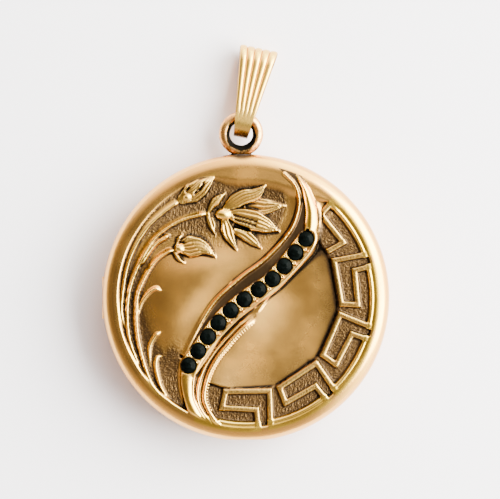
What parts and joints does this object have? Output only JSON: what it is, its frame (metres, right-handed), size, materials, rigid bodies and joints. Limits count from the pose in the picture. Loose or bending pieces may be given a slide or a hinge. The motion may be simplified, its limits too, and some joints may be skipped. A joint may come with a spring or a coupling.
{
  "type": "locket",
  "caption": "Round hinged picture locket with a raised S band of dark paste stones, flower and Greek-key relief, ring and fluted bail.",
  "frame": {"origin": "middle of the flat back face that the locket rests on, on the axis of the round case", "axes": "+Z out of the front face; +Y from the case to the bail; +X to the right seen from the front, so the hinge is at -X"},
  "size_m": [0.0301, 0.0415, 0.0066],
  "materials": {
    "case_gold": "antique gold, polished high spots, brown patina in the recesses",
    "inner_gold": "satin gold",
    "hinge_gold": "worn gold",
    "hinge_steel": "dull steel wire",
    "rose_gold": "rose gold with black tarnish",
    "dark_solder": "oxidised solder",
    "pale_gold": "polished pale gold",
    "dark_paste": "faceted, foil-backed near-black glass",
    "lens": "clear",
    "card": "blank aged card"
  },
  "bodies": {
    "back_case": {"back_cover": "case_gold", "back_inner_plate": "inner_gold", "snap_rim": "inner_gold", "hinge_knuckle_back_upper": "hinge_gold", "hinge_knuckle_back_lower": "hinge_gold", "hinge_pin": "hinge_steel", "ring_saddle": "dark_solder", "bail_ring": "rose_gold", "back_photo_frame": "inner_gold", "back_lens": "lens", "back_picture_card": "card"},
    "front_lid": {"front_cover": "case_gold", "front_inner_plate": "inner_gold", "hinge_knuckle_front": "hinge_gold", "front_photo_frame": "inner_gold", "front_lens": "lens", "front_picture_card": "card", "paste_stone_01": "dark_paste", "paste_stone_02": "dark_paste", "paste_stone_03": "dark_paste", "paste_stone_04": "dark_paste", "paste_stone_05": "dark_paste", "paste_stone_06": "dark_paste", "paste_stone_07": "dark_paste", "paste_stone_08": "dark_paste", "paste_stone_09": "dark_paste", "paste_stone_10": "dark_paste", "paste_stone_11": "dark_paste"},
    "bail": {"bail": "pale_gold"}
  },
  "joints": [
    {"name": "lid_hinge", "type": "hinge", "parent": "back_case", "child": "front_lid", "pos_m": [-0.0147, 0, 0.0032], "axis": [0, -1, 0], "range_deg": [0, 135]},
    {"name": "bail_swing", "type": "hinge", "parent": "back_case", "child": "bail", "pos_m": [-0.00013, 0.01893, 0.0024], "axis": [0.9781, -0.2079, 0], "range_deg": [-115, 125]}
  ]
}
